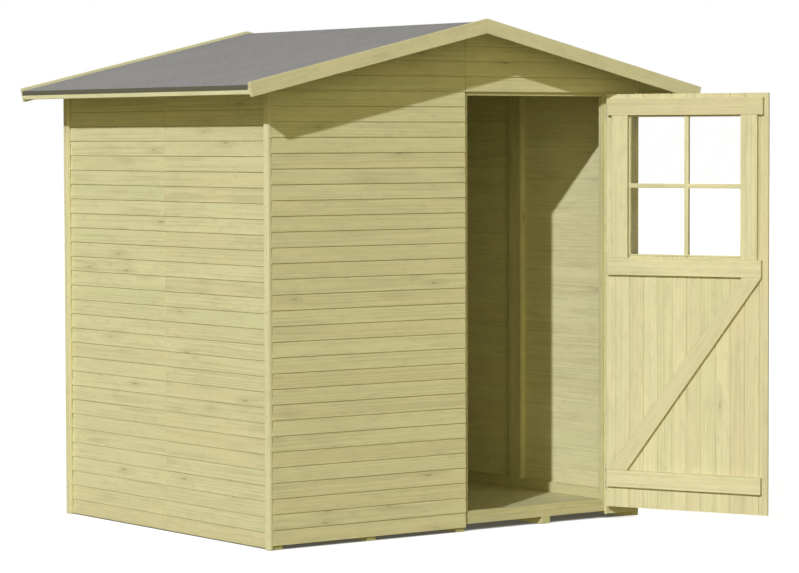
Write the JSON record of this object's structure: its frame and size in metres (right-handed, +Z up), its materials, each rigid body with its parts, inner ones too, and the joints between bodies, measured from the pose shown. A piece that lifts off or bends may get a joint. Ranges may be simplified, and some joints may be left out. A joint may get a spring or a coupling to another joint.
{
  "type": "wooden garden shed",
  "caption": "Apex-roofed timber garden shed with overlap cladding, felt roof, board floor on bearers and a ledged, braced door with a glazed upper light.",
  "frame": {"origin": "on the ground, at the plan centre of the walls, on the underside of the middle bearer", "axes": "+Z up; the door gable faces -Y; +X to the right of someone who looks at the door from outside"},
  "size_m": [2.424, 2.3753, 2.193],
  "materials": {
    "cladding_pine": "pressure-treated pine, pale green tint, sawn grain",
    "trim_pine": "planed pressure-treated pine",
    "door_pine": "planed tongue-and-groove pine boards",
    "frame_pine": "sawn pressure-treated battens",
    "floor_pine": "tongue-and-groove floor boards",
    "bearer_pine": "sawn pressure-treated bearers",
    "roof_felt": "grey mineral-faced roofing felt",
    "pane": "clear sheet",
    "zinc_steel": "bright zinc-plated hinge steel"
  },
  "bodies": {
    "shed": {"bearers": "bearer_pine", "floor": "floor_pine", "door_sill": "frame_pine", "front_left_cladding": "cladding_pine", "front_right_cladding": "cladding_pine", "front_head_cladding": "cladding_pine", "rear_left_cladding": "cladding_pine", "rear_right_cladding": "cladding_pine", "left_front_cladding": "cladding_pine", "left_rear_cladding": "cladding_pine", "right_front_cladding": "cladding_pine", "right_rear_cladding": "cladding_pine", "front_frame": "frame_pine", "rear_frame": "frame_pine", "left_frame": "frame_pine", "right_frame": "frame_pine", "front_left_trim": "trim_pine", "rear_left_trim": "trim_pine", "front_right_trim": "trim_pine", "rear_right_trim": "trim_pine", "ridge_beam": "frame_pine", "purlins": "frame_pine", "left_roof_deck": "frame_pine", "right_roof_deck": "frame_pine", "left_eave_board": "trim_pine", "right_eave_board": "trim_pine", "front_left_barge": "trim_pine", "front_right_barge": "trim_pine", "rear_left_barge": "trim_pine", "rear_right_barge": "trim_pine", "left_felt": "roof_felt", "right_felt": "roof_felt", "upper_hinge_leaf": "zinc_steel", "lower_hinge_leaf": "zinc_steel"},
    "door": {"door_boards": "door_pine", "door_top_ledge": "door_pine", "door_middle_ledge": "door_pine", "door_bottom_ledge": "door_pine", "door_stiles": "door_pine", "door_brace": "door_pine", "window_pane": "pane", "upper_hinge_strap": "zinc_steel", "lower_hinge_strap": "zinc_steel"}
  },
  "joints": [
    {"name": "door_hinge", "type": "hinge", "parent": "shed", "child": "door", "pos_m": [0.8065, -0.825, 0.9], "axis": [0, 0, 1], "range_deg": [-113.5, 26.5]}
  ]
}
